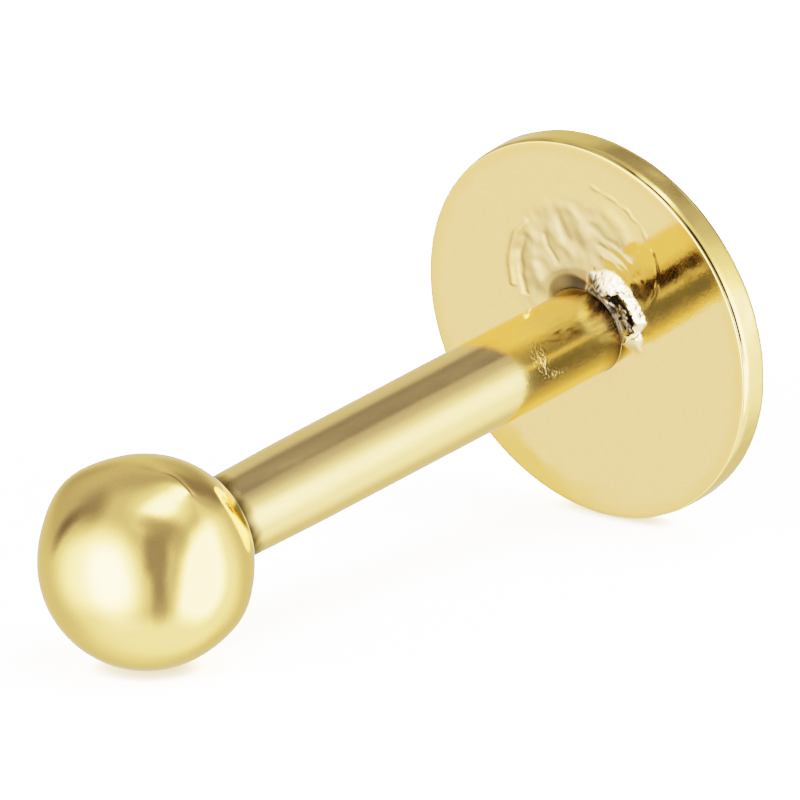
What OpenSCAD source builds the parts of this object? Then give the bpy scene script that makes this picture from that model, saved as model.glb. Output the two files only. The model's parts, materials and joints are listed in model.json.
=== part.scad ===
// A flat-back helix stud: a ball screwed onto a straight post, with a disc soldered to the
// post's other end. It lies on a level surface, on its ball and on the lower edge of its disc.
// Millimetres, +Z up. The origin is on the surface, under the middle of the stud's length.

/* [Post] */
// Diameter of the post, 18 gauge
post_d = 1.0; // [0.9:0.05:1.2]
// Length of the post between the disc and the ball, a quarter of an inch
post_len = 6.35; // [5:0.05:10]
// Bevel round the shoulder that meets the ball
shoulder_bevel = 0.03; // [0.01:0.01:0.05]
// Diameter of the screwed end over its crests
screw_d = 0.6; // [0.5:0.02:0.66]
// Length of the screwed end
screw_len = 1.1; // [0.8:0.05:1.3]

/* [Disc] */
// Diameter of the disc
disc_d = 4.45; // [3.5:0.05:5]
// Thickness of the disc
disc_t = 0.38; // [0.25:0.01:0.5]
// Radius of the two rounded edges of its rim
rim_r = 0.08; // [0.04:0.01:0.1]
// Reach of the solder from the corner between post and disc
solder_r = 0.14; // [0.05:0.01:0.25]

/* [Ball] */
// Diameter of the ball
ball_d = 2.35; // [2.2:0.05:3]
// Room round the screwed end in the ball's hole, on each side
screw_room = 0.03; // [0.02:0.01:0.08]
// Room past the tip of the screwed end, at the bottom of the hole
tip_room = 0.2; // [0.1:0.05:0.3]
// Width of the flat seat that shows round the post's shoulder
seat_rim = 0.03; // [0.01:0.01:0.1]
// Bevel at the mouth of the hole
mouth_bevel = 0.04; // [0.02:0.01:0.05]
// Gap between the seat and the post's shoulder
seat_gap = 0.01; // [0.01:0.01:0.03]

/* [Hidden] */
$fn = 96;
gold = [0.86, 0.72, 0.36];
// How far a cutting shape runs past the face that it cuts
past = 0.5;

post_r = post_d / 2;
disc_r = disc_d / 2;
ball_r = ball_d / 2;
screw_r = screw_d / 2;
hole_r = screw_r + screw_room;

// Places along the stud's own axis, which runs from the ball's centre to the disc
seat_x = sqrt(pow(ball_r, 2) - pow(post_r + seat_rim, 2));
shoulder_x = seat_x + seat_gap;
disc_x = shoulder_x + post_len;
back_x = disc_x + disc_t;

// The slope at which the disc's lower edge and the ball touch the same level surface
edge_x = disc_x + rim_r;
edge_r = disc_r - rim_r;
edge_reach = sqrt(pow(edge_x, 2) + pow(edge_r, 2));
slope = atan2(edge_r, edge_x) - asin((ball_r - rim_r) / edge_reach);

// Ends of the lying stud along X, from the ball's centre
low_end = -ball_r;
high_end = (back_x - rim_r) * cos(slope) + edge_r * sin(slope) + rim_r;

// Puts a shape made about the stud's own axis, with the ball's centre at 0, where it lies
module lying() {
    translate([-(low_end + high_end) / 2, 0, ball_r])
        rotate([0, -slope, 0])
            children();
}

// Stands a shape made along Z on the stud's axis, with its foot at x
module on_axis(x) {
    translate([x, 0, 0])
        rotate([0, 90, 0])
            children();
}

// Half of the disc's section, with both edges of the rim rounded
module disc_section() {
    square([edge_r, disc_t]);
    translate([0, rim_r])
        square([disc_r, disc_t - 2 * rim_r]);
    for (y = [rim_r, disc_t - rim_r])
        translate([edge_r, y])
            circle(r = rim_r);
}

// Section of the solder that fills the corner between the post and the disc
module solder_section() {
    difference() {
        translate([post_r / 2, -solder_r])
            square([post_r / 2 + solder_r, solder_r + disc_t / 2]);
        translate([post_r + solder_r, -solder_r])
            circle(r = solder_r);
    }
}

// The ball, with a flat seat and a blind hole for the screwed end of the post
module screw_ball() {
    color(gold)
        lying()
            difference() {
                sphere(r = ball_r);
                on_axis(seat_x)
                    cylinder(r = ball_r, h = ball_r);
                on_axis(shoulder_x - screw_len - tip_room)
                    cylinder(r = hole_r, h = screw_len + tip_room + past);
                on_axis(seat_x - mouth_bevel)
                    cylinder(r1 = hole_r, r2 = hole_r + mouth_bevel, h = mouth_bevel);
            }
}

// The post with its screwed end, the disc, and the solder that joins them, all one solid
module flat_back_post() {
    color(gold)
        lying() {
            on_axis(shoulder_x - screw_len)
                cylinder(r = screw_r, h = screw_len + past);
            on_axis(shoulder_x)
                cylinder(r1 = post_r - shoulder_bevel, r2 = post_r, h = shoulder_bevel);
            on_axis(shoulder_x + shoulder_bevel)
                cylinder(r = post_r, h = post_len - shoulder_bevel + disc_t / 2);
            on_axis(disc_x)
                rotate_extrude()
                    solder_section();
            on_axis(disc_x)
                rotate_extrude()
                    disc_section();
        }
}

screw_ball();
flat_back_post();
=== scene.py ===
# A gold flat-back helix stud, lying on its ball and on the lower edge of its disc.
# The frame gives the main sizes and places. Blender adds the polish, the solder and the thread.

import bpy
import json
import math
from mathutils import Matrix, Vector, noise
from types import SimpleNamespace


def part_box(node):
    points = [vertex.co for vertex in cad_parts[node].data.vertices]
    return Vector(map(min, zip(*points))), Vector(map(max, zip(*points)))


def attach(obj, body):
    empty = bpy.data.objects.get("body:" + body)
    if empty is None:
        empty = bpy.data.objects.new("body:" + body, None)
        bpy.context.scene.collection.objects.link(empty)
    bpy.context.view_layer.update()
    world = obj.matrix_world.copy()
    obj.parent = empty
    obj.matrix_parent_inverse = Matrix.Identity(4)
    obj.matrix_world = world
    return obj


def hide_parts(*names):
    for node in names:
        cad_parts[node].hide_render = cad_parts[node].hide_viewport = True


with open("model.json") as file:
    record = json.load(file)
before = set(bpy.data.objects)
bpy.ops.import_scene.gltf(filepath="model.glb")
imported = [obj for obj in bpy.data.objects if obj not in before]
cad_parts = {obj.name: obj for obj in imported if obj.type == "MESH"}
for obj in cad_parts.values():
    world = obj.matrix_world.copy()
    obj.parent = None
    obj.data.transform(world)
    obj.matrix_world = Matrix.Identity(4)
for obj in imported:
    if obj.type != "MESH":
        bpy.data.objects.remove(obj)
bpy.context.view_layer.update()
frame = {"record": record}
MM = 0.001

# The camera
# A long macro lens, so the stud's far end looks almost as large as its near end. It stands
# on the ball's side and looks a little down, as in the photograph.
view_azimuth, view_elevation = math.radians(-49.46), math.radians(15.92)
aim = Vector((0.793, 0, 2.077)) * MM
camera_distance = 347.1 * MM

towards_camera = Vector((
    math.sin(view_azimuth) * math.cos(view_elevation),
    -math.cos(view_azimuth) * math.cos(view_elevation),
    math.sin(view_elevation),
))
bpy.ops.object.camera_add(
    location=aim + towards_camera * camera_distance,
    rotation=(math.pi / 2 - view_elevation, 0, view_azimuth),
)
camera = bpy.context.object
camera.name = "macro_camera"
camera.data.lens = 1440
camera.data.sensor_width = 36
camera.data.clip_start, camera.data.clip_end = 10 * MM, 1000 * MM
bpy.context.scene.camera = camera
bpy.context.scene.view_settings.view_transform = "Filmic"
bpy.context.scene.view_settings.look = "None"

# The light tent
# A white tent with two soft boxes, one on each side of the camera, and a smaller one above.
# The stud is so small that all of them act as if far away, so the tent is the world itself.
# Angles are seen from the stud, in degrees: azimuth is counted from the camera to its right.
# Levels are in stops. A panel is given by its azimuth, its elevation, half of its width and
# height, the softness of its edge and its level, and the later panels hang in front.
# The numbers of the first set of panels come from a fit to the photograph's reflections by another
# script. They were rounded, and a few were then changed.
tent = bpy.data.worlds.new("light_tent")
bpy.context.scene.world = tent
tent.use_nodes = True
tent.cycles.sampling_method = "NONE"
tent_nodes, tent_links = tent.node_tree.nodes, tent.node_tree.links
tent_nodes.clear()
look_way = tent_nodes.new("ShaderNodeTexCoord").outputs["Generated"]


def feed(links, node, *terms):
    """Puts numbers into a node's sockets, or links other nodes' outputs to them, in order."""
    for socket, term in zip(node.inputs, terms):
        if isinstance(term, bpy.types.NodeSocket):
            links.new(term, socket)
        else:
            socket.default_value = term


def reckon(operation, *terms):
    """One Math node of the tent."""
    node = tent_nodes.new("ShaderNodeMath")
    node.operation = operation
    feed(tent_links, node, *terms)
    return node.outputs[0]


def ease(value, low, high, start, end):
    """A smooth change from start to end while value goes from low to high."""
    node = tent_nodes.new("ShaderNodeMapRange")
    node.interpolation_type = "SMOOTHSTEP"
    feed(tent_links, node, value, low, high, start, end)
    return node.outputs[0]


def turned(way, x=0.0, y=0.0, z=0.0):
    """The looking direction as seen from axes that are turned by these degrees."""
    node = tent_nodes.new("ShaderNodeMapping")
    node.vector_type = "TEXTURE"
    node.inputs["Rotation"].default_value = [math.radians(angle) for angle in (x, y, z)]
    tent_links.new(way, node.inputs["Vector"])
    return node.outputs[0]


def panel(wall, azimuth, elevation, width, height, edge, level, square=2.5, roll=0):
    """Lays a soft-edged panel over the wall's level. width and height are half of its size."""
    to_panel = turned(look_way, 0, -elevation, math.degrees(view_azimuth) - 90 + azimuth)
    split = tent_nodes.new("ShaderNodeSeparateXYZ")
    tent_links.new(turned(to_panel, roll), split.inputs[0])
    across = reckon("ARCTAN2", split.outputs["Y"], split.outputs["X"])
    along = reckon("ARCSINE", split.outputs["Z"])
    across = reckon("ABSOLUTE", reckon("DIVIDE", across, math.radians(width)))
    along = reckon("ABSOLUTE", reckon("DIVIDE", along, math.radians(height)))
    out = reckon("ADD", reckon("POWER", across, square), reckon("POWER", along, square))
    return ease(reckon("POWER", out, 1 / square), 1 - edge, 1 + edge, level, wall)


up_split = tent_nodes.new("ShaderNodeSeparateXYZ")
tent_links.new(look_way, up_split.inputs[0])
up_angle = reckon("ARCSINE", up_split.outputs["Z"])
wall = ease(up_angle, math.radians(-59), math.radians(-34), 1.76, 0.34)
# The wall behind the stud, with a dark cloth hung over it and a paler strip above the cloth
wall = panel(wall, -125.1, 27.9, 39.4, 27.8, 0.34, -1.55, square=2.2, roll=25.4)
wall = panel(wall, 159.9, 52.5, 64.2, 17.8, 0.47, -0.17, square=2.2, roll=2.3)
wall = panel(wall, -177.5, -28.4, 73.3, 40.9, 0.74, 0.45)
# The soft box on the camera's left: its cloth and the lamp behind it
wall = panel(wall, -57.1, -5.1, 46.4, 40, 0.52, 2.58)
wall = panel(wall, -38.5, -3.7, 24.8, 37.6, 0.78, 3.59, roll=14.6)
# The soft box on the camera's right, which fades towards the wall
wall = panel(wall, 84.6, -25.8, 32.5, 61.9, 0.41, 1.8)
wall = panel(wall, 64.6, -10.5, 28.6, 38, 0.29, 3.13, square=3, roll=-3.3)
# The light above
wall = panel(wall, 36.7, 69.6, 20.9, 18.2, 1.0, 2.44, square=2)
wall = panel(wall, 85.4, 73.2, 33.7, 10.5, 0.51, 3.1, square=3.5, roll=-26.7)
# The dark seams of the tent
wall = panel(wall, -112.9, 18.8, 5.4, 14.9, 1.0, -2.3, roll=-16.4)
wall = panel(wall, 144.1, 53.1, 23.5, 5.6, 0.4, -1.85, roll=-7.6)
wall = panel(wall, -162.1, 65.4, 21.8, 12, 0.99, -0.58, square=2.2, roll=-13.5)
wall = panel(wall, 146.1, 27.2, 11.8, 19, 0.9, -1.83, roll=69.1)
wall = panel(wall, 19.8, 47.4, 23.5, 7.7, 0.77, -0.62, roll=-48.8)
# The gap for the camera, and the camera's own dark front
first_level = panel(wall, 11.8, 25.1, 11.5, 21.7, 0.5, -1.35, square=4)
first_level = panel(first_level, 14.1, -5.5, 6.7, 33, 0.8, -1.3, square=4, roll=4)

# What comes by way of two mirrors has levels of its own, set to match the photograph.
# No real tent does that
second_level = panel(2.1, 8, -8, 34, 46, 0.75, -0.7)
second_level = panel(second_level, 5, 1, 9, 5, 0.6, 1.3)
second_level = panel(second_level, 5, -24, 9, 15, 0.6, -1.6)
second_level = panel(second_level, -46, -12, 18, 18, 0.4, 4.2)
second_level = panel(second_level, 117, 16, 11, 26, 0.4, -2.0)

seen = tent_nodes.new("ShaderNodeLightPath")
by_two_mirrors = reckon("GREATER_THAN", seen.outputs["Ray Depth"], 2.5)
level = tent_nodes.new("ShaderNodeMix")
tent_links.new(by_two_mirrors, level.inputs["Factor"])
tent_links.new(first_level, level.inputs["A"])
tent_links.new(second_level, level.inputs["B"])
strength = reckon("POWER", 2, level.outputs["Result"])
# Where nothing stands in front of it, the tent is overexposed to pure white
backdrop = reckon("MULTIPLY", seen.outputs["Is Camera Ray"], 32)

# Dark cloth is cool, the lit wall is warm, and the lamps are white
lowest_level, highest_level = -2.0, 5.0
level_range = highest_level - lowest_level
on_range = reckon("MULTIPLY_ADD", level.outputs["Result"], 1 / level_range, -lowest_level / level_range)


def tone_ramp(tones):
    """The light's colour for each level, from rows of level, green and blue. Red is always 1."""
    node = tent_nodes.new("ShaderNodeValToRGB")
    tent_links.new(on_range, node.inputs["Fac"])
    stops = node.color_ramp.elements
    stops.remove(stops[1])
    for stop, (stop_level, green, blue) in enumerate(tones):
        if stop:
            stops.new((stop_level - lowest_level) / level_range)
        stops[stop].color = (1, green, blue, 1)
    return node.outputs["Color"]


first_tone = tone_ramp((
    (-2.0, 1.03, 1.45), (-0.4, 0.98, 1.1), (1.2, 0.98, 0.84), (2.7, 0.98, 0.95), (3.5, 1.12, 1.6),
    (5.0, 1.15, 1.9),
))
second_tone = tone_ramp(((-2.0, 1.75, 2.7), (0.8, 1.3, 2.0), (2.2, 1.08, 1.6)))
cooler = tent_nodes.new("ShaderNodeMix")
cooler.data_type = "RGBA"
cooler.blend_type = "MULTIPLY"
tent_links.new(by_two_mirrors, cooler.inputs["Factor"])
tent_links.new(first_tone, cooler.inputs["A"])
tent_links.new(second_tone, cooler.inputs["B"])
glow = tent_nodes.new("ShaderNodeBackground")
tent_links.new(cooler.outputs["Result"], glow.inputs["Color"])
tent_links.new(reckon("MAXIMUM", strength, backdrop), glow.inputs["Strength"])
tent_out = tent_nodes.new("ShaderNodeOutputWorld")
tent_links.new(glow.outputs[0], tent_out.inputs["Surface"])

# The floor
# A sheet of white paper, exposed until it is as white as the tent behind it. The gold
# mirrors the tent's lower half in its place, as it would on a lit glass table.
bpy.ops.object.select_all(action="DESELECT")
bpy.ops.mesh.primitive_plane_add(size=900 * MM, location=(0, 0, 0))
floor = bpy.context.object
floor.name = "floor"
paper = bpy.data.materials.new("white_paper")
paper.use_nodes = True
paper_shader = paper.node_tree.nodes["Principled BSDF"]
# A painted contact shadow: the paper's colour darkens only close under the stud, where the two nearly
# touch
paper_white, paper_shadow, shadow_reach = 6.6, 0.9, 0.17 * MM
near_stud = paper.node_tree.nodes.new("ShaderNodeAmbientOcclusion")
near_stud.samples = 8
near_stud.inputs["Distance"].default_value = shadow_reach
openness = paper.node_tree.nodes.new("ShaderNodeMath")
openness.operation = "POWER"
feed(paper.node_tree.links, openness, near_stud.outputs["AO"], 2)
whiteness = paper.node_tree.nodes.new("ShaderNodeMath")
whiteness.operation = "MULTIPLY_ADD"
feed(paper.node_tree.links, whiteness, openness.outputs[0], paper_white - paper_shadow, paper_shadow)
paper.node_tree.links.new(whiteness.outputs[0], paper_shader.inputs["Base Color"])
paper_shader.inputs["Roughness"].default_value = 1
paper_shader.inputs["Specular IOR Level"].default_value = 0
floor.data.materials.append(paper)
floor.visible_glossy = False

# The ball
# A solid ball of 14 carat gold, turned and mirror polished by hand, so it is a little out of
# round. It screws onto the post: a flat seat round its threaded hole meets the post's shoulder.
record = frame["record"]
mounts = {mount["name"]: mount for mount in record["mounts"]}
stud_axis = Vector(record["behaviour"]["joints"][0]["axis"]).normalized()
slope = math.atan2(stud_axis.z, stud_axis.x)
ball_low, ball_high = (Vector(corner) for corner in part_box("screw_ball"))
ball_radius = (ball_high.y - ball_low.y) / 2
ball_centre = Vector((ball_low.x + ball_radius, 0, ball_low.z + ball_radius))
post_radius = mounts["post"]["dims"]["r_mm"] * MM
seat_rim = 0.03 * MM
seat_radius = post_radius + seat_rim
seat_x = math.sqrt(ball_radius ** 2 - seat_radius ** 2)
hole_radius, hole_depth, hole_bevel = 0.33 * MM, 1.29 * MM, 0.04 * MM
thread_pitch = 0.15 * MM


def select_faces(piece, chosen):
    """Selects the faces of a mesh that chosen() accepts, in edit mode."""
    bpy.ops.mesh.select_all(action="DESELECT")
    bpy.ops.object.mode_set(mode="OBJECT")
    for face in piece.data.polygons:
        face.select = chosen(face)
    bpy.ops.object.mode_set(mode="EDIT")


def lay_down(piece, smooth_angle):
    """Takes a piece made along X, with the ball's middle at 0, to where the stud lies."""
    bpy.ops.object.select_all(action="DESELECT")
    piece.select_set(True)
    bpy.context.view_layer.objects.active = piece
    piece.location = ball_centre
    piece.rotation_euler = (0, -slope, 0)
    bpy.ops.object.transform_apply(location=True, rotation=True, scale=True)
    bpy.ops.object.shade_smooth_by_angle(angle=math.radians(smooth_angle))


bpy.ops.object.select_all(action="DESELECT")
bpy.ops.mesh.primitive_uv_sphere_add(
    segments=192, ring_count=128, radius=ball_radius, rotation=(0, math.pi / 2, 0)
)
ball = bpy.context.object
ball.name = "polished_ball"
bpy.ops.object.transform_apply(rotation=True)
bpy.ops.object.mode_set(mode="EDIT")
bpy.ops.mesh.select_all(action="SELECT")
# Known fault: the cut's default threshold, 0.1 mm, is too coarse for so small a ball. It leaves a
# low cap on past the seat, inside the post, and a hole of only 0.06 mm in radius
bpy.ops.mesh.bisect(plane_co=(seat_x, 0, 0), plane_no=(1, 0, 0), clear_outer=True, use_fill=True)
bpy.ops.mesh.select_mode(type="FACE")
select_faces(ball, lambda face: face.normal.x > 0.99 and face.center.x > seat_x - 0.001 * MM)
seat_edge, drill_point = 0.006 * MM, 0.08 * MM
bpy.ops.mesh.inset(thickness=seat_edge, depth=0)
bpy.ops.mesh.inset(thickness=seat_radius - seat_edge - hole_radius - hole_bevel, depth=0)
bpy.ops.mesh.inset(thickness=hole_bevel, depth=-hole_bevel)
for turn in range(int((hole_depth - hole_bevel) / thread_pitch)):
    for widen in (1.12, 1 / 1.12):
        bpy.ops.mesh.extrude_region_move(
            TRANSFORM_OT_translate={"value": (-thread_pitch / 2, 0, 0)}
        )
        bpy.ops.transform.resize(value=(1, widen, widen))
bpy.ops.mesh.inset(thickness=hole_radius / 2, depth=-drill_point)
bpy.ops.object.mode_set(mode="OBJECT")

# Hand polishing leaves low, broad swellings: which way they face, their reach and height. The
# numbers come from the same fit as the tent's
swellings = (
    ((-0.22, 0.66, 0.72), 0.35, 0.061),
    ((0.36, -0.79, -0.49), 0.28, 0.027),
    ((-0.02, -0.45, 0.89), 0.18, 0.052),
    ((0.22, -0.74, 0.63), 0.26, 0.043),
    ((-0.05, -0.62, 0.78), 0.13, 0.030),
    ((-0.08, -0.74, 0.66), 0.27, 0.036),
)
plain_by_seat = 0.05 * MM
for vertex in ball.data.vertices:
    outward = vertex.co.normalized()
    if vertex.co.length < ball_radius * 0.999 or vertex.co.x > seat_x - plain_by_seat:
        continue
    for way, reach, height in swellings:
        vertex.co += outward * height * MM * math.exp(-(outward.angle(Vector(way)) / reach) ** 2)
lay_down(ball, 35)


def gold(name, colour, roughness, broad, fine, drawn=1.0, crumpled=0):
    """Polished gold. broad and fine are the size and height of its uneven spots, in mm, and
    crumpled is the height of the rough grain where the mesh has the attribute "crumple"."""
    material = bpy.data.materials.new(name)
    material.use_nodes = True
    nodes, links = material.node_tree.nodes, material.node_tree.links
    shader = nodes["Principled BSDF"]
    shader.inputs["Metallic"].default_value = 1
    shader.inputs["Specular Tint"].default_value = (1.0, 0.86, 0.55, 1)
    along_stud = nodes.new("ShaderNodeMapping")
    along_stud.vector_type = "TEXTURE"
    along_stud.inputs["Rotation"].default_value = (0, -slope, 0)
    along_stud.inputs["Scale"].default_value = (drawn, 1, 1)
    links.new(nodes.new("ShaderNodeTexCoord").outputs["Object"], along_stud.inputs["Vector"])

    def spots(size, detail):
        cloud = nodes.new("ShaderNodeTexNoise")
        cloud.inputs["Scale"].default_value = 1 / (size * MM)
        cloud.inputs["Detail"].default_value = detail
        links.new(along_stud.outputs[0], cloud.inputs["Vector"])
        return cloud.outputs["Fac"]

    def spread(value, low, high):
        node = nodes.new("ShaderNodeMapRange")
        feed(links, node, value, 0.3, 0.7, low, high)
        return node.outputs[0]

    broad_spots, fine_spots = spots(broad[0], 2), spots(fine[0], 3)
    links.new(spread(broad_spots, roughness * 0.75, roughness * 1.3), shader.inputs["Roughness"])
    tint = nodes.new("ShaderNodeMix")
    tint.data_type = "RGBA"
    tint.inputs["A"].default_value = (*colour, 1)
    tint.inputs["B"].default_value = (colour[0] * 0.95, colour[1] * 0.94, colour[2] * 0.88, 1)
    links.new(spread(fine_spots, 0, 1), tint.inputs["Factor"])
    links.new(tint.outputs["Result"], shader.inputs["Base Color"])
    surface = None
    for value, height in ((broad_spots, broad[1]), (fine_spots, fine[1])):
        bump = nodes.new("ShaderNodeBump")
        bump.inputs["Strength"].default_value = 1
        bump.inputs["Distance"].default_value = height * MM
        links.new(value, bump.inputs["Height"])
        if surface:
            links.new(surface, bump.inputs["Normal"])
        surface = bump.outputs["Normal"]
    if crumpled:
        grain = nodes.new("ShaderNodeTexNoise")
        grain.inputs["Scale"].default_value = 1 / (0.045 * MM)
        grain.inputs["Detail"].default_value = 3
        links.new(nodes.new("ShaderNodeTexCoord").outputs["Object"], grain.inputs["Vector"])
        where = nodes.new("ShaderNodeAttribute")
        where.attribute_name = "crumple"
        bump = nodes.new("ShaderNodeBump")
        bump.inputs["Distance"].default_value = crumpled * MM
        links.new(where.outputs["Fac"], bump.inputs["Strength"])
        links.new(grain.outputs["Fac"], bump.inputs["Height"])
        links.new(surface, bump.inputs["Normal"])
        surface = bump.outputs["Normal"]
    links.new(surface, shader.inputs["Normal"])
    return material


mirror_gold = gold("mirror_gold", (0.95, 0.57, 0.145), 0.07, (0.25, 0.0015), (0.035, 0.0003))
ball.data.materials.append(mirror_gold)
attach(ball, "ball")
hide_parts("screw_ball")

# The post, the disc and their solder
# A drawn gold wire soldered at a right angle to the middle of a punched disc, then polished in
# one go. The wire is a little thinner at both ends, and the solder has run out over the disc.
seat_gap = 0.01 * MM
shoulder_x = seat_x + seat_gap
disc_x = (Vector(mounts["disc_inner_face"]["pos_m"]) - ball_centre).dot(stud_axis)
back_x = (Vector(mounts["disc_back"]["pos_m"]) - ball_centre).dot(stud_axis)
post_low, post_high = (Vector(corner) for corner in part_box("flat_back_post"))
disc_radius = (post_high.y - post_low.y) / 2
shoulder_bevel = 0.03 * MM
front_round, back_round, rim_curve = 0.024 * MM, 0.08 * MM, 0.35 * MM
# The first of these is how far along the wire the painted shade by the ball reaches
corner_shade_reach, solder_reach, relief_reach = 0.45 * MM, 0.2 * MM, 1.95 * MM
thin_by_ball, thin_by_disc = 0.042, 0.02


def turn_on_lathe(name, section, steps):
    """Draws a section from one point, given as place along the axis and radius, and spins it."""
    bpy.ops.object.select_all(action="DESELECT")
    x, radius = section[0]
    bpy.ops.mesh.primitive_plane_add(size=MM, location=(x, 0, radius))
    piece = bpy.context.object
    piece.name = name
    bpy.ops.object.transform_apply(location=True)
    bpy.ops.object.mode_set(mode="EDIT")
    bpy.ops.mesh.select_mode(type="VERT")
    bpy.ops.mesh.select_all(action="SELECT")
    bpy.ops.mesh.merge(type="CENTER")
    for next_x, next_radius in section[1:]:
        step = (next_x - x, 0, next_radius - radius)
        bpy.ops.mesh.extrude_region_move(TRANSFORM_OT_translate={"value": step})
        x, radius = next_x, next_radius
    bpy.ops.mesh.select_all(action="SELECT")
    bpy.ops.mesh.spin(steps=steps, angle=2 * math.pi, center=(0, 0, 0), axis=(1, 0, 0))
    bpy.ops.mesh.select_all(action="SELECT")
    bpy.ops.mesh.remove_doubles(threshold=0.0002 * MM)
    bpy.ops.mesh.normals_make_consistent(inside=False)
    bpy.ops.object.mode_set(mode="OBJECT")
    return piece


def line_to(section, x, radius, steps):
    """Carries a section on to a point in equal steps."""
    start_x, start_radius = section[-1]
    for step in range(1, steps + 1):
        part = step / steps
        section.append((start_x + (x - start_x) * part, start_radius + (radius - start_radius) * part))


def arc_on(section, x, radius, size, first, last, steps):
    """Carries a section on round a point, between two angles from straight outwards."""
    for step in range(steps + 1):
        angle = math.radians(first + (last - first) * step / steps)
        section.append((x + size * math.sin(angle), radius + size * math.cos(angle)))


section = [(shoulder_x, 0)]
line_to(section, shoulder_x, post_radius - shoulder_bevel, 3)
arc_on(section, shoulder_x + shoulder_bevel, post_radius - shoulder_bevel, shoulder_bevel, -67.5, 0, 3)
line_to(section, shoulder_x + corner_shade_reach, post_radius, 12)
line_to(section, disc_x - solder_reach, post_radius, 60)
arc_on(section, disc_x - solder_reach, post_radius + solder_reach, solder_reach, 175, 90, 17)
line_to(section, disc_x, relief_reach, 74)
# The rim's front half is slightly crowned, and meets its small front rounding at this angle
crown_angle = 14
spare = rim_curve - front_round
crown_x = disc_x + front_round + spare * math.sin(math.radians(crown_angle))
edge_radius = disc_radius - rim_curve + spare * math.cos(math.radians(crown_angle))
line_to(section, disc_x, edge_radius, 6)
arc_on(section, disc_x + front_round, edge_radius, front_round, -78.75, -crown_angle, 5)
arc_on(section, crown_x, disc_radius - rim_curve, rim_curve, -crown_angle * 7 / 8, 0, 7)
line_to(section, back_x - back_round - 0.01 * MM, disc_radius, 5)
arc_on(section, back_x - back_round, disc_radius - back_round, back_round, 0, 90, 8)
line_to(section, back_x, 0, 6)
post = turn_on_lathe("flat_back_stem", section, 384)
fillet_start, face_end = disc_x - solder_reach - 0.001 * MM, disc_x + 0.001 * MM
for face in post.data.polygons:
    if fillet_start < face.center.x < face_end:
        face.material_index = 1

# Folds of the frozen solder on the disc, seen from the ball's side: points to the right of and
# above the post's middle, half of the fold's width and its height, all in mm
folds = (
    (((-0.99, 0.36), (-1.0, 0.60), (-0.95, 0.82), (-0.85, 1.00), (-0.70, 1.16)), 0.040, 0.010),
    (((-0.82, 0.26), (-0.86, 0.50), (-0.84, 0.76), (-0.75, 0.98)), 0.045, -0.011),
    (((-0.57, 0.42), (-0.66, 0.70), (-0.60, 0.98)), 0.080, 0.012),
    (((-0.45, 1.06), (-0.42, 0.92), (-0.31, 0.77)), 0.035, -0.010),
    (((-0.34, 1.15), (-0.24, 1.02), (-0.10, 0.90)), 0.075, 0.009),
    (((-0.23, 1.34), (-0.21, 1.19), (-0.13, 1.08)), 0.060, -0.010),
    (((-0.02, 1.42), (0.09, 1.30), (0.14, 1.14)), 0.080, 0.013),
    (((0.26, 1.28), (0.40, 1.17), (0.55, 1.10)), 0.045, -0.007),
    (((0.52, 1.45), (0.66, 1.34), (0.74, 1.18)), 0.080, 0.009),
    (((0.34, 1.07), (0.50, 1.01), (0.66, 0.91), (0.79, 0.77)), 0.028, -0.010),
    (((0.46, 1.12), (0.62, 1.03), (0.77, 0.91), (0.87, 0.76)), 0.024, 0.008),
    (((0.36, 0.95), (0.50, 0.89), (0.62, 0.80), (0.72, 0.69)), 0.028, 0.008),
    (((0.33, 1.76), (0.48, 1.70), (0.61, 1.66), (0.70, 1.59), (0.79, 1.57)), 0.014, 0.007),
    (((0.79, 1.57), (0.86, 1.48), (0.96, 1.42), (1.01, 1.28), (1.09, 1.12)), 0.014, 0.007),
    (((1.09, 1.12), (1.12, 0.95), (1.11, 0.78), (1.06, 0.62), (0.96, 0.47)), 0.014, 0.007),
)


def smooth_step(value, low, high):
    """Goes smoothly from 0 to 1 while value goes from low to high."""
    part = min(max((value - low) / (high - low), 0), 1)
    return part * part * (3 - 2 * part)


def band(value, start, full, fade, end):
    """Rises smoothly to 1 between start and full, and falls back between fade and end."""
    return smooth_step(value, start, full) * (1 - smooth_step(value, fade, end))


def hump(value, middle, reach):
    """Is 1 at the middle, and dies away evenly on both sides."""
    return math.exp(-((value - middle) / reach) ** 2)


def distance_to_line(spot, points):
    """How far a spot is from a line of points."""
    nearest = math.inf
    for start, end in zip(points, points[1:]):
        start, run = Vector(start), Vector(end) - Vector(start)
        part = min(max((spot - start).dot(run) / run.length_squared, 0), 1)
        nearest = min(nearest, (spot - start - run * part).length)
    return nearest


def pool_distance(right, up):
    """How far a place on the disc is from the middle of the pool of solder, in mm."""
    return math.hypot(right - 0.05, up - 0.62)


def relief(right, up):
    """Height of the frozen solder over the disc's flat face, in mm."""
    spot = Vector((right, up))
    here = Vector((right, up, 0))
    height = 0
    for points, width, rise in folds:
        middle = Vector(points[len(points) // 2])
        if (spot - middle).length > 0.35 + 3 * width:
            continue
        wander = 0.03 * noise.noise(here * 6 + Vector((0, 0, width * 90)))
        away = (distance_to_line(spot, points) + wander) / width
        height += rise * hump(away, 0, 1)
    in_pool = 1 - smooth_step(pool_distance(right, up), 0.8, 1.1)
    ripple = noise.noise(here * 4.5) + 0.6 * noise.noise(here * 9 + Vector((0, 0, 3)))
    left = 1 + 0.5 * (1 - smooth_step(right, -0.75, -0.4))
    return 0.8 * height * left + in_pool * (0.003 + 0.005 * ripple)


stains = ("pool", "tarnish", "solder", "dirt_and_shade", "crumple", "scoured")
for name in stains:
    post.data.attributes.new(name, "FLOAT", "POINT")
amounts = {name: post.data.attributes[name].data for name in stains}
# Even the blackest dirt and painted shade let a little of the gold through
blackest = 0.995


def mark(vertex, name, amount, most=1.0):
    """Sets how much of a stain, or of painted shade, there is on a vertex."""
    amounts[name][vertex.index].value = min(amount, most)


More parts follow.
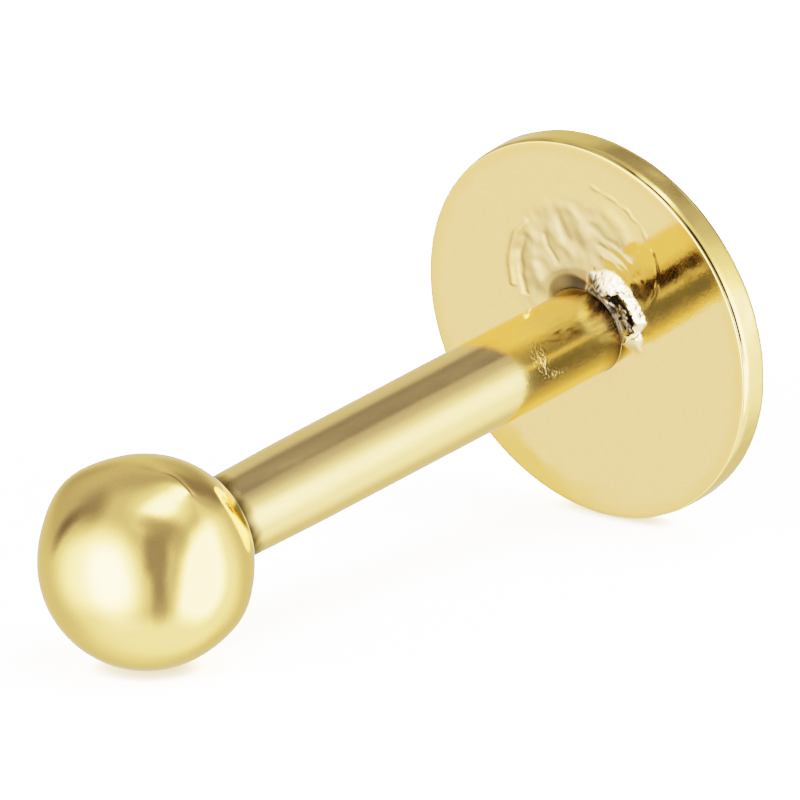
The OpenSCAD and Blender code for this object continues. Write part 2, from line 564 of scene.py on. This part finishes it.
# From here on a place on the post or disc is given by "out", its distance from the post's middle
# in mm, by "clock", its angle from straight right in degrees, and by "here", which is the place
# along the axis, to the right and up. The corner's solder, the disc's face and its rim lie here:
corner_out, face_out, rim_out = 0.71, 2.0, 2.2


def solder_joint(here, out, clock):
    """What the solder is like at a place: heights in mm, and the rest from 0 to 1."""
    rough = band(clock, -12, 8, 76, 84)
    ragged = out + 0.03 * noise.noise(here * 14) + 0.02 * noise.noise(here * 31)
    stray = clock + 9 * noise.noise(here * 11)
    # A black crack runs between the bead and the post, and a spur of it runs in to the post
    cracked = band(stray, 7, 17, 42, 50)
    crack = cracked * hump(ragged + 0.045 * noise.noise(here * 20), 0.70, 0.042)
    spur = hump(stray, 45, 5) * band(ragged, 0.53, 0.56, 0.68, 0.73)
    crack = max(crack, spur)
    # The pale bead lies beyond the crack. It rises steeply to its crest and falls away outwards
    near = 0.61 + 0.16 * cracked + 0.05 * smooth_step(clock, 60, 84)
    far = 0.78 + 0.15 * smooth_step(clock, 8, 18) - 0.23 * smooth_step(clock, 52, 84)
    crest = near + 0.03
    slope_length = max(far - crest, 0.02)
    fall = min(max((ragged - crest) / slope_length, 0), 1)
    bead = rough * smooth_step(ragged, near, crest) * (1 - fall) * 0.42 * slope_length
    pale = rough * band(ragged, near - 0.02, near, far - 0.02, far + 0.03)
    # Darkening: painted shade on the inner side of the bead, black specks of dirt on it, and a painted
    # grey shade at the upper left
    inner_shade = rough * smooth_step(clock, 44, 52) * (1 - smooth_step(ragged, 0.69, 0.76))
    inner_shade *= 0.88 + 0.3 * noise.noise(here * 24)
    specks = 1.1 * rough * smooth_step(noise.noise(here * 30), 0.36, 0.48) * smooth_step(clock, 30, 45)
    specks *= band(ragged, 0.60, 0.63, 0.80, 0.84)
    shade = 0.98 * band(clock, 76, 84, 135, 160) * (1 - 0.15 * smooth_step(clock, 95, 125))
    shade *= band(out, 0.49, 0.51, 0.64, 0.78)
    return SimpleNamespace(
        rough=rough,
        ragged=ragged,
        cracked=cracked,
        crack=crack,
        bead=bead,
        pale=pale,
        lumps=noise.noise(here * 13) + 0.7 * noise.noise(here * 29),
        darkening=max(1.5 * crack, inner_shade, specks, shade),
    )


def end_patch_by_clock(clock):
    """How much of the dark patch on the wire's end and the corner beside it there is at this clock."""
    return band(clock, 27, 33, 41, 47)


def finish_wire(vertex, here, out, clock):
    """The wire, with its two thinner ends, the painted shade by the ball and the rough marks."""
    x = vertex.co.x
    # Painted shade in the corner by the ball, most at its top and bottom
    corner = abs(math.sin(math.radians(clock - 31))) ** 3
    corner_shade_out = ((x - shoulder_x) / MM - 0.10 - 0.15 * corner) / (0.16 + 0.08 * corner)
    corner_shade_out -= 0.25 * smooth_step(-clock, 35, 60)
    corner_shade_out += 0.2 * noise.noise(here * 9)
    corner_shade = (blackest - 0.12 * smooth_step(clock, 20, 55)) * (1 - min(max(corner_shade_out, 0), 1) ** 2)
    by_solder = smooth_step(x - fillet_start, -0.14 * MM, -0.01 * MM)
    by_solder *= smooth_step(noise.noise(here * 12), -0.35, 0.05)
    mark(vertex, "dirt_and_shade", max(corner_shade, 0.94 * end_patch_by_clock(clock) * by_solder))
    if out < 0.3:
        return
    part = (x - shoulder_x) / (disc_x - shoulder_x)
    thin = thin_by_ball * (1 - smooth_step(part, -0.05, 0.28))
    thin += thin_by_disc * smooth_step(part, 0.8, 1.0)
    scale = 1 - thin + 0.0012 / out * noise.noise(Vector((here.x, here.y * 3, here.z * 3)))
    vertex.co.y *= scale
    vertex.co.z *= scale
    # It is left rough where the tongs held it, along its lower side and next to the solder
    held = hump(part, 0.80, 0.016) * hump(clock, 28, 26)
    lower_side = smooth_step(part, 0.80, 0.82) * hump(clock, -2, 9)
    end_patch = smooth_step(part, 0.945, 0.97) * band(clock, 5, 20, 60, 75)
    mark(vertex, "crumple", 0.8 * held + 0.8 * lower_side + 0.35 * end_patch)
    mark(vertex, "scoured", smooth_step(part, 0.86, 0.97) * band(clock, -5, 12, 70, 90))


def finish_corner(vertex, here, out, clock):
    """The solder in the corner: smooth on the upper left, rough on the right, little below."""
    joint = solder_joint(here, out, clock)
    upper_left = hump(clock, 114, 42)
    outward = Vector((0, vertex.co.y, vertex.co.z)).normalized()
    edge = post_radius * (1 - thin_by_disc)
    width = (out * MM - edge) * (0.05 + 0.95 * max(joint.rough, upper_left))
    height = (disc_x - vertex.co.x) * (0.05 + 0.25 * upper_left + 0.11 * joint.rough)
    vertex.co = outward * (edge + width) + Vector((disc_x - height, 0, 0))
    outward = (outward - Vector((1, 0, 0))).normalized()
    uneven = joint.rough * smooth_step(out, 0.56, 0.6) * joint.lumps
    vertex.co += outward * (0.007 * uneven - 0.015 * joint.crack) * MM
    vertex.co.x -= joint.bead * MM
    grey = joint.cracked * (0.72 + 0.28 * smooth_step(noise.noise(here * 22), 0.12, 0.3))
    # Painted shade along the foot of the corner next to the post, except on the smooth upper left
    crease_shade = 0.93 * max(joint.rough, 1 - upper_left)
    crease_shade *= 1 - smooth_step(out, 0.525, 0.645 - 0.1 * joint.rough)
    end_patch = 0.97 * end_patch_by_clock(clock) * (1 - smooth_step(joint.ragged, 0.56, 0.61))
    mark(vertex, "dirt_and_shade", max(joint.darkening, grey, crease_shade, end_patch), blackest)
    mark(vertex, "solder", max(joint.pale, joint.cracked))


def finish_face(vertex, here, out, clock):
    """The disc's face, with the bead, the folds and the pool of solder that ran out over it."""
    joint = solder_joint(here, out, clock)
    fade = 1 - smooth_step(out, 1.85, relief_reach / MM)
    rise = relief(here.y, here.z) + joint.bead + 0.007 * joint.pale * joint.lumps
    vertex.co.x -= fade * rise * MM
    pool_edge = pool_distance(here.y, here.z) + 0.1 * noise.noise(here * 5)
    mark(vertex, "dirt_and_shade", joint.darkening, blackest)
    mark(vertex, "solder", joint.pale)
    mark(vertex, "pool", 1 - smooth_step(pool_edge, 0.7, 1.1))


def finish_rim(vertex, here, clock):
    """The rim, left uneven by the punch, with a black line under its front edge, mostly on the upper
    right.
    """
    uneven = 1 + 0.0025 * noise.noise(here * 2.2) + 0.001 * noise.noise(here * 5)
    vertex.co.y *= uneven
    vertex.co.z *= uneven
    if vertex.co.x < disc_x + 0.043 * MM:
        darkening = 1.1 * smooth_step(clock, -6, 12) * (1 - 0.8 * smooth_step(clock, 55, 80))
        mark(vertex, "dirt_and_shade", max(darkening + 0.5 * noise.noise(here * 5), 0), blackest)


def tarnish_disc(vertex, here, out, clock):
    """Tarnish: a patch by the face's lower left edge, a little all round it, and on the rim."""
    patch = smooth_step(out + 0.12 * noise.noise(here * 4), 1.78, 1.98) * hump(clock, -122, 26)
    if out > rim_out:
        even = smooth_step(clock + 5 * noise.noise(here * 4), 18, 23)
    else:
        even = 0.35 * smooth_step(out + 0.05 * noise.noise(here * 7), 2.02, 2.14)
    mark(vertex, "tarnish", patch + even)


for vertex in post.data.vertices:
    x, right, up = vertex.co.x, -vertex.co.y / MM, vertex.co.z / MM
    out = math.hypot(right, up)
    clock = math.degrees(math.atan2(up, right))
    here = Vector((x / MM, right, up))
    if x > disc_x - 0.1 * MM and out > 0.8:
        tarnish_disc(vertex, here, out, clock)
    if x < fillet_start:
        finish_wire(vertex, here, out, clock)
    elif x < face_end and out < corner_out:
        finish_corner(vertex, here, out, clock)
    elif x < face_end and out < face_out:
        finish_face(vertex, here, out, clock)
    elif out > rim_out and x > disc_x + 0.015 * MM:
        finish_rim(vertex, here, clock)
# The disc is soldered a little out of square
lean = Matrix.Rotation(math.radians(-1.4), 4, "Y") @ Matrix.Rotation(math.radians(0.5), 4, "Z")
middle = Vector((disc_x, 0, 0))
for vertex in post.data.vertices:
    share = smooth_step(vertex.co.x, disc_x - 0.3 * MM, disc_x - 0.1 * MM)
    if share > 0:
        vertex.co = vertex.co.lerp(middle + lean @ (vertex.co - middle), share)
lay_down(post, 60)


def stain(material, attribute, colour, roughness):
    """Changes a gold's colour and roughness as far as the attribute says."""
    nodes, links = material.node_tree.nodes, material.node_tree.links
    amount = nodes.new("ShaderNodeAttribute")
    amount.attribute_name = attribute
    for name, kind, value in (("Base Color", "RGBA", (*colour, 1)), ("Roughness", "FLOAT", roughness)):
        socket = nodes["Principled BSDF"].inputs[name]
        mix = nodes.new("ShaderNodeMix")
        mix.data_type = kind
        links.new(amount.outputs["Fac"], mix.inputs["Factor"])
        before, after = [end for end in mix.inputs if end.name in "AB" and end.enabled]
        links.new(socket.links[0].from_socket, before)
        after.default_value = value
        links.new([end for end in mix.outputs if end.enabled][0], socket)


drawn_gold = gold(
    "drawn_gold", (0.93, 0.59, 0.185), 0.09, (0.22, 0.0018), (0.03, 0.0005), drawn=4, crumpled=0.01
)
punched_gold = gold("punched_gold", (0.55, 0.317, 0.104), 0.07, (0.22, 0.0008), (0.04, 0.0004))
stain(punched_gold, "pool", (0.42, 0.265, 0.098), 0.14)
stain(punched_gold, "tarnish", (0.48, 0.23, 0.045), 0.16)
stain(punched_gold, "solder", (0.85, 0.66, 0.36), 0.16)
stain(drawn_gold, "tarnish", (0.93, 0.58, 0.135), 0.12)
stain(drawn_gold, "scoured", (0.88, 0.55, 0.15), 0.24)
# Black where there is dirt or painted shade, on both golds
for metal in (punched_gold, drawn_gold):
    stain(metal, "dirt_and_shade", (0.006, 0.005, 0.003), 0.3)
post.data.materials.append(drawn_gold)
post.data.materials.append(punched_gold)
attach(post, "post")
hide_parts("flat_back_post")

# The black card
# A small black card beside the post, for the dark streak that the post's mirror image has in
# the disc. It shows by way of two mirrors, the disc and the post, and in no other way.
bpy.ops.object.select_all(action="DESELECT")
card_x, card_inner, card_width = disc_x - 4 * MM, 2.85 * MM, 2.3 * MM
bpy.ops.mesh.primitive_plane_add(size=MM, location=(card_x, -card_inner, 0))
card = bpy.context.object
card.name = "black_card"
bpy.ops.object.transform_apply(location=True)
bpy.ops.object.mode_set(mode="EDIT")
bpy.ops.mesh.select_mode(type="VERT")
bpy.ops.mesh.select_all(action="SELECT")
bpy.ops.mesh.merge(type="CENTER")
bpy.ops.mesh.extrude_region_move(TRANSFORM_OT_translate={"value": (0, -card_width, 0)})
bpy.ops.mesh.select_all(action="SELECT")
bpy.ops.mesh.spin(steps=16, angle=math.radians(33), center=(0, 0, 0), axis=(1, 0, 0))
bpy.ops.mesh.select_all(action="SELECT")
bpy.ops.transform.rotate(value=math.radians(25), orient_axis="X", center_override=(0, 0, 0))
bpy.ops.object.mode_set(mode="OBJECT")
lay_down(card, 30)
black = bpy.data.materials.new("black_card")
black.use_nodes = True
nodes, links = black.node_tree.nodes, black.node_tree.links
nodes.clear()
mirrors = nodes.new("ShaderNodeLightPath").outputs["Ray Depth"]
twice = nodes.new("ShaderNodeMath")
twice.operation = "GREATER_THAN"
twice.inputs[1].default_value = 1.5
links.new(mirrors, twice.inputs[0])
cover = nodes.new("ShaderNodeMixShader")
soot = nodes.new("ShaderNodeBsdfDiffuse")
soot.inputs["Color"].default_value = (0.005, 0.005, 0.005, 1)
links.new(twice.outputs[0], cover.inputs["Fac"])
links.new(nodes.new("ShaderNodeBsdfTransparent").outputs[0], cover.inputs[1])
links.new(soot.outputs[0], cover.inputs[2])
links.new(cover.outputs[0], nodes.new("ShaderNodeOutputMaterial").inputs["Surface"])
card.data.materials.append(black)
card.visible_camera = False

# The screwed end
# The post's end is turned down and threaded for the ball. It is hidden while the ball is on,
# and shows when the ball comes off.
screw_radius, screw_root, screw_length = 0.3 * MM, 0.25 * MM, 1.1 * MM
tip_bevel, sunk = 0.06 * MM, 0.05 * MM
tip_x = shoulder_x - screw_length
section = [(tip_x, 0)]
line_to(section, tip_x, screw_radius, 3)
line_to(section, shoulder_x + sunk, screw_radius, 92)
line_to(section, shoulder_x + sunk, 0, 3)
screw = turn_on_lathe("screwed_end", section, 72)
for vertex in screw.data.vertices:
    turn = math.atan2(vertex.co.z, vertex.co.y) / (2 * math.pi)
    from_tip = vertex.co.x - tip_x
    wave = abs(2 * ((from_tip / thread_pitch + turn) % 1) - 1)
    runs_out = smooth_step(shoulder_x - vertex.co.x, 0.04 * MM, 0.15 * MM)
    narrow = (screw_radius - screw_root) * wave * runs_out
    narrow += tip_bevel * (1 - smooth_step(from_tip, 0, 1.5 * tip_bevel))
    scale = 1 - narrow / screw_radius
    vertex.co.y *= scale
    vertex.co.z *= scale
lay_down(screw, 35)
screw.data.materials.append(drawn_gold)
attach(screw, "post")
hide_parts("flat_back_post")
